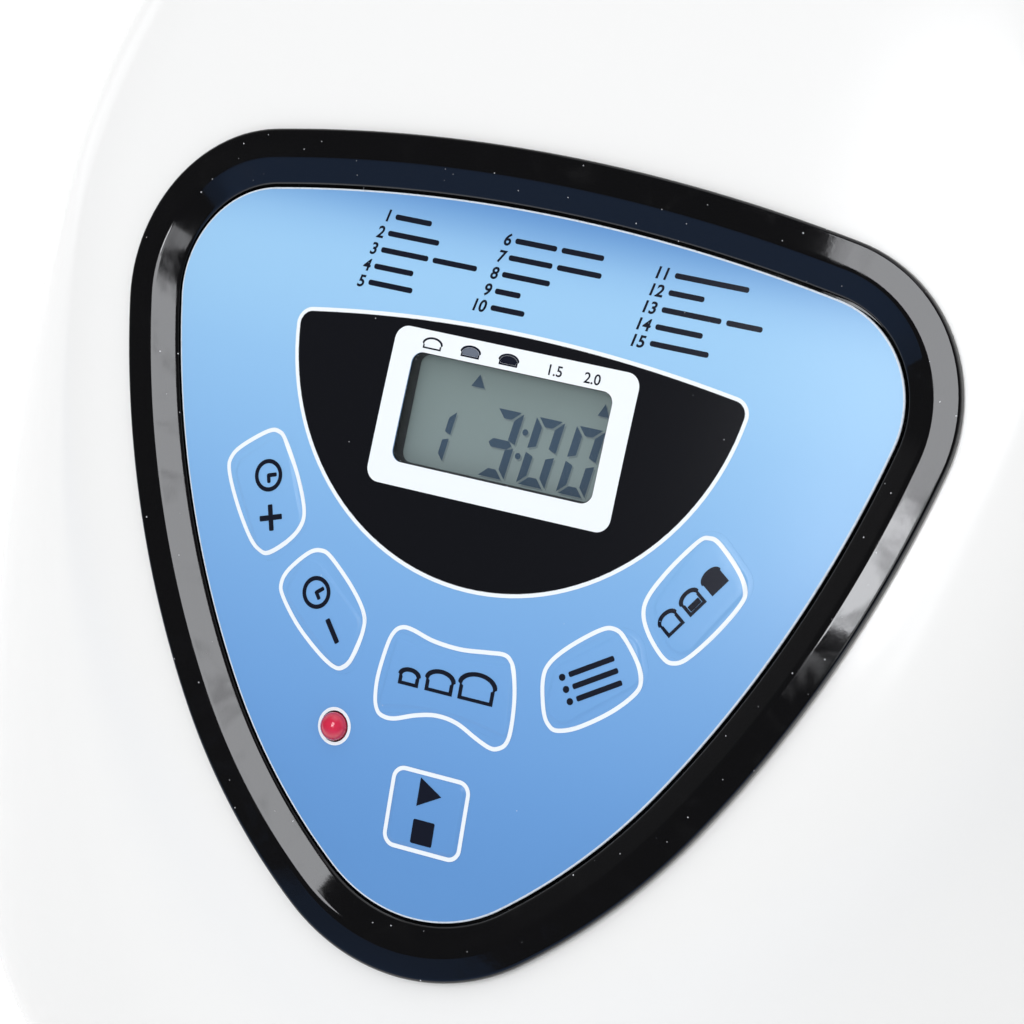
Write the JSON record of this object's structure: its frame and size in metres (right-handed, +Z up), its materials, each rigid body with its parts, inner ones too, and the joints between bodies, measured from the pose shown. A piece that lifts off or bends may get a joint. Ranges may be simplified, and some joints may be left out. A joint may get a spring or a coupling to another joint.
{
  "type": "bread machine",
  "caption": "Bread machine with a rounded-triangle membrane panel, press keys, LCD and lamp, a windowed hinged lid standing open, a lift-out pan with bail, and a belt-driven kneading paddle.",
  "frame": {"origin": "middle of the box's base, on the table under the machine", "axes": "+Z up, the control panel faces -Y, X = 0 is the plane of symmetry of the body and panel outline"},
  "size_m": [0.244, 0.3924, 0.471],
  "materials": {
    "white_shell": "gloss moulded",
    "white_inner": "satin moulded",
    "black_gloss": "high gloss",
    "membrane_blue": "printed satin film",
    "lcd_pane": "clear",
    "lcd_glass": "liquid crystal",
    "lamp_red": "diffused",
    "circuit_green": "solder mask",
    "dark_plastic": "satin",
    "rubber": "matt",
    "zinc_steel": "zinc plated",
    "stainless": "satin",
    "cast_aluminium": "as cast",
    "nonstick": "nonstick coat",
    "bronze": "sintered",
    "element_sheath": "oxidised",
    "ceramic": "glazed",
    "belt_rubber": "matt",
    "motor_can": "lacquered",
    "silicone": "soft",
    "seal_red": "soft",
    "lid_glass": "clear",
    "bright_steel": "polished"
  },
  "bodies": {
    "machine": {"housing": "white_shell", "side_panels": "white_shell", "rear_cover": "white_shell", "base_plate": "white_inner", "feet": "rubber", "case_screws": "zinc_steel", "top_deck": "white_inner", "panel_bezel": "black_gloss", "panel_plate": "membrane_blue", "lcd_window": "lcd_pane", "lcd_module": "lcd_glass", "power_led": "lamp_red", "control_board": "circuit_green", "tact_switches": "dark_plastic", "chamber_liner": "stainless", "pan_seat": "stainless", "pan_clips": "bright_steel", "heating_element": "element_sheath", "element_supports": "stainless", "element_bushes": "ceramic", "temperature_sensor": "bright_steel", "chassis": "zinc_steel", "bearing_housing": "cast_aluminium", "bearing_bushes": "bronze", "motor": "motor_can", "motor_mount": "zinc_steel", "drive_belt": "belt_rubber", "run_capacitor": "white_inner", "power_board": "circuit_green", "thermal_fuse": "bright_steel", "cord_gland": "dark_plastic", "hinge_brackets": "white_inner", "hinge_pins": "bright_steel"},
    "drive": {"drive_shaft": "bright_steel", "large_pulley": "dark_plastic", "drive_dog": "bright_steel"},
    "rotor": {"motor_shaft": "bright_steel", "small_pulley": "dark_plastic", "motor_fan": "dark_plastic"},
    "pan": {"bread_pan": "nonstick", "pan_collar": "cast_aluminium", "pan_bush": "bronze", "pan_seal": "seal_red", "pan_ears": "stainless"},
    "pan_spindle": {"pan_shaft": "bright_steel", "pan_coupling": "cast_aluminium"},
    "paddle": {"kneading_paddle": "nonstick"},
    "bail": {"pan_handle": "bright_steel"},
    "lid": {"lid_shell": "white_shell", "lid_liner": "stainless", "lid_window": "lid_glass", "window_frame": "black_gloss", "lid_gasket": "silicone", "lid_screws": "zinc_steel"},
    "key_time_up": {"key_time_up": "membrane_blue"},
    "key_time_down": {"key_time_down": "membrane_blue"},
    "key_loaf_size": {"key_loaf_size": "membrane_blue"},
    "key_menu": {"key_menu": "membrane_blue"},
    "key_crust_colour": {"key_crust_colour": "membrane_blue"},
    "key_start_stop": {"key_start_stop": "membrane_blue"}
  },
  "joints": [
    {"name": "drive_spin", "type": "hinge", "parent": "machine", "child": "drive", "pos_m": [0, 0.00859, 0.05], "axis": [0, 0, 1], "continuous": true},
    {"name": "rotor_spin", "type": "hinge", "parent": "machine", "child": "rotor", "pos_m": [0.038, -0.10941, 0.08], "axis": [0, 0, 1], "continuous": true},
    {"name": "pan_lift", "type": "slide", "parent": "machine", "child": "pan", "axis": [0, 0, 1], "range_m": [0, 0.21]},
    {"name": "spindle_spin", "type": "hinge", "parent": "pan", "child": "pan_spindle", "pos_m": [0, 0.00859, 0.1], "axis": [0, 0, 1], "continuous": true},
    {"name": "paddle_lift", "type": "slide", "parent": "pan_spindle", "child": "paddle", "axis": [0, 0, 1], "range_m": [0, 0.13]},
    {"name": "bail_swing", "type": "hinge", "parent": "pan", "child": "bail", "pos_m": [0, 0.00859, 0.2243], "axis": [1, 0, 0], "range_deg": [0, 180]},
    {"name": "lid_hinge", "type": "hinge", "parent": "machine", "child": "lid", "pos_m": [0, 0.12109, 0.244], "axis": [-1, 0, 0], "range_deg": [-100, 0]},
    {"name": "press_time_up", "type": "slide", "parent": "machine", "child": "key_time_up", "axis": [0, 0.9135, -0.4067], "range_m": [0, 0.0006], "stiffness_N_per_m": 300, "springref_m": -0.0003},
    {"name": "press_time_down", "type": "slide", "parent": "machine", "child": "key_time_down", "axis": [0, 0.9135, -0.4067], "range_m": [0, 0.0006], "stiffness_N_per_m": 300, "springref_m": -0.0003},
    {"name": "press_loaf_size", "type": "slide", "parent": "machine", "child": "key_loaf_size", "axis": [0, 0.9135, -0.4067], "range_m": [0, 0.0006], "stiffness_N_per_m": 300, "springref_m": -0.0003},
    {"name": "press_menu", "type": "slide", "parent": "machine", "child": "key_menu", "axis": [0, 0.9135, -0.4067], "range_m": [0, 0.0006], "stiffness_N_per_m": 300, "springref_m": -0.0003},
    {"name": "press_crust_colour", "type": "slide", "parent": "machine", "child": "key_crust_colour", "axis": [0, 0.9135, -0.4067], "range_m": [0, 0.0006], "stiffness_N_per_m": 300, "springref_m": -0.0003},
    {"name": "press_start_stop", "type": "slide", "parent": "machine", "child": "key_start_stop", "axis": [0, 0.9135, -0.4067], "range_m": [0, 0.0006], "stiffness_N_per_m": 300, "springref_m": -0.0003}
  ],
  "couplings": [
    {"joint": "rotor_spin", "follows": "drive_spin", "ratio": 5.75},
    {"joint": "spindle_spin", "follows": "drive_spin", "ratio": 1}
  ]
}
